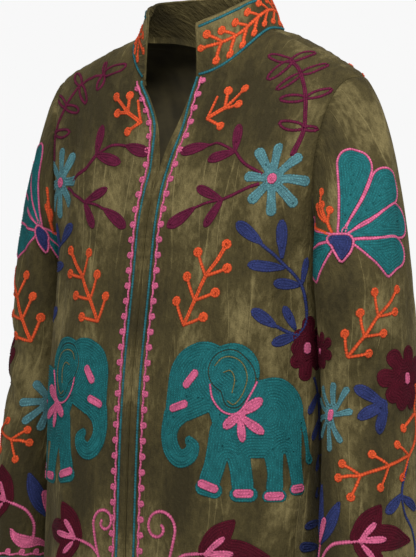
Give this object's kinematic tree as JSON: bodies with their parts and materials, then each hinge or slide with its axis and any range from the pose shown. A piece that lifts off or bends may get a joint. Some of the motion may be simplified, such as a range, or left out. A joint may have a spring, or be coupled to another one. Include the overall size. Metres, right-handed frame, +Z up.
{
  "type": "suzani jacket",
  "caption": "Worn hip-length olive velvet jacket with a stand collar, open edge-to-edge front and set-in sleeves, embroidered all over with elephants, flowers and sprigs.",
  "frame": {"origin": "on the shoulders, midway between the two points where the shoulder line meets the neckline", "axes": "+Z up, the wearer faces -Y, and the wearer's left is +X"},
  "size_m": [0.59, 0.2621, 0.7665],
  "materials": {
    "velvet": "cotton velvet, a soft crushed pile with a sheen",
    "edge_band": "cotton velvet strip, its rolled edge lighter than the panels",
    "embroidery": "matt chain-stitched cotton thread in teal, orange, pink, burgundy and navy"
  },
  "bodies": {
    "root": {"front_left": "velvet", "front_right": "velvet", "back": "velvet", "sleeve_left": "velvet", "sleeve_right": "velvet", "collar": "velvet", "front_band_left": "edge_band", "front_band_right": "edge_band"}
  },
  "joints": []
}
